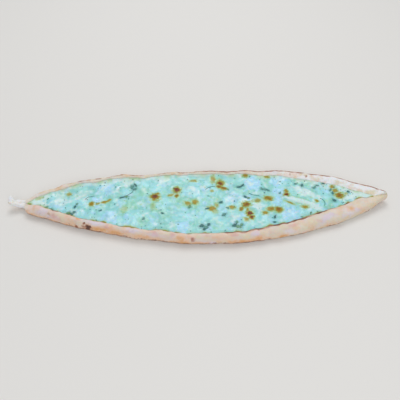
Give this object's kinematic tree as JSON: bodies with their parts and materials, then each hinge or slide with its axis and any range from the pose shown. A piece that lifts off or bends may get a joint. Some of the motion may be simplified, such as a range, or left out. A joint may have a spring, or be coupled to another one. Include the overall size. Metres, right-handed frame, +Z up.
{
  "type": "cheese pide",
  "caption": "Long boat-shaped baked flatbread with its sides folded in as rims, both tips pinched shut, and a bed of melted cheese with herbs.",
  "frame": {"origin": "middle of the bounding box in X and Y, on the surface that the boat rests on", "axes": "+X along the boat to its blunt closed bow, +Y towards the straighter rim, +Z up"},
  "size_m": [0.5, 0.115, 0.0181],
  "materials": {
    "baked_dough": "dry baked dough, pale, browned along the lips and the lower edge",
    "melted_cheese": "melted cheese with a soft uneven gloss, browned spots and green herbs"
  },
  "bodies": {
    "root": {"crust": "baked_dough", "cheese": "melted_cheese"}
  },
  "joints": []
}
